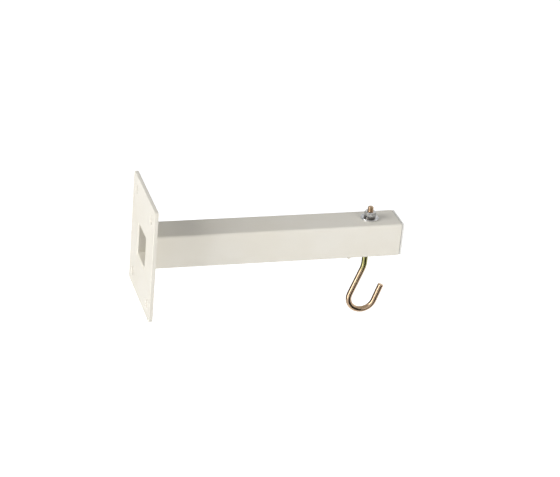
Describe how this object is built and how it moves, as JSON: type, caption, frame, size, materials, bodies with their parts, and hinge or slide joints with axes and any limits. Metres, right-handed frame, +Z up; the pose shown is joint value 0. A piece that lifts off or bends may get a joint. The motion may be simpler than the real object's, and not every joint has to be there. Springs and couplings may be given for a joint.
{
  "type": "wall arm bracket with hook",
  "caption": "Wall bracket: a square steel arm welded through a drilled plate, with a capped end and a swivelling threaded hook hung from a nut and washers.",
  "frame": {"origin": "centre of the plate's outline on its wall face, which is also the tube's axis", "axes": "+X along the arm, away from the wall; +Z up; Y across the plate"},
  "size_m": [0.263, 0.095, 0.1485],
  "materials": {
    "powder_coat": "satin off-white powder coat",
    "cap_plastic": "satin white moulded plastic",
    "bright_zinc": "bright zinc plate with a faint blue tint",
    "yellow_zinc": "yellow passivated zinc plate, iridescent"
  },
  "bodies": {
    "arm": {"wall_plate": "powder_coat", "arm_tube": "powder_coat", "weld_top": "powder_coat", "weld_bottom": "powder_coat", "weld_near": "powder_coat", "weld_far": "powder_coat", "end_cap": "cap_plastic", "flat_washer": "bright_zinc"},
    "swivel": {"lock_washer": "bright_zinc"},
    "nut": {"hex_nut": "bright_zinc"},
    "hook": {"hook_bolt": "yellow_zinc"}
  },
  "joints": [
    {"name": "hook_swivel", "type": "hinge", "parent": "arm", "child": "swivel", "pos_m": [0.231, 0, 0.0191], "axis": [0, 0, 1], "continuous": true},
    {"name": "nut_turn", "type": "hinge", "parent": "swivel", "child": "nut", "pos_m": [0.231, 0, 0.0207], "axis": [0, 0, 1], "range_deg": [-4325, 1625]},
    {"name": "hook_lift", "type": "slide", "parent": "swivel", "child": "hook", "axis": [0, 0, 1], "range_m": [-0.0045, 0.012]}
  ],
  "couplings": [
    {"joint": "nut_turn", "follows": "hook_lift", "rad_per_m": -6283.2}
  ]
}
